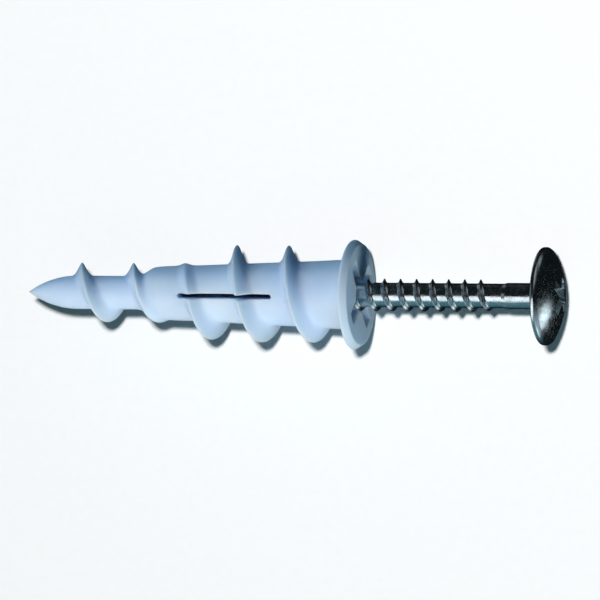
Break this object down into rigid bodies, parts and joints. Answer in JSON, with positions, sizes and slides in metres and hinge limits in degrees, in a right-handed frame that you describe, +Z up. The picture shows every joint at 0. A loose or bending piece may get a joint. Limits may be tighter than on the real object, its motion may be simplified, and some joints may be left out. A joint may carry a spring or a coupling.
{
  "type": "self-drilling plasterboard anchor",
  "caption": "Nylon self-drilling plasterboard anchor with an auger thread and an expansion slit, and a truss-head cross-recess screw started in its flange.",
  "frame": {"origin": "centre of the flange's outer face", "axes": "+Z up; the common axis of anchor and screw lies in the XZ plane with the screw's head towards +X, 1.63 degrees down from +X, as the two rims rest on a flat surface"},
  "size_m": [0.0684, 0.0134, 0.0134],
  "materials": {
    "nylon": "moulded nylon, pale blue-white, slightly translucent, satin",
    "steel": "bright zinc plate"
  },
  "bodies": {
    "root": {"anchor": "nylon", "screw": "steel"}
  },
  "joints": []
}
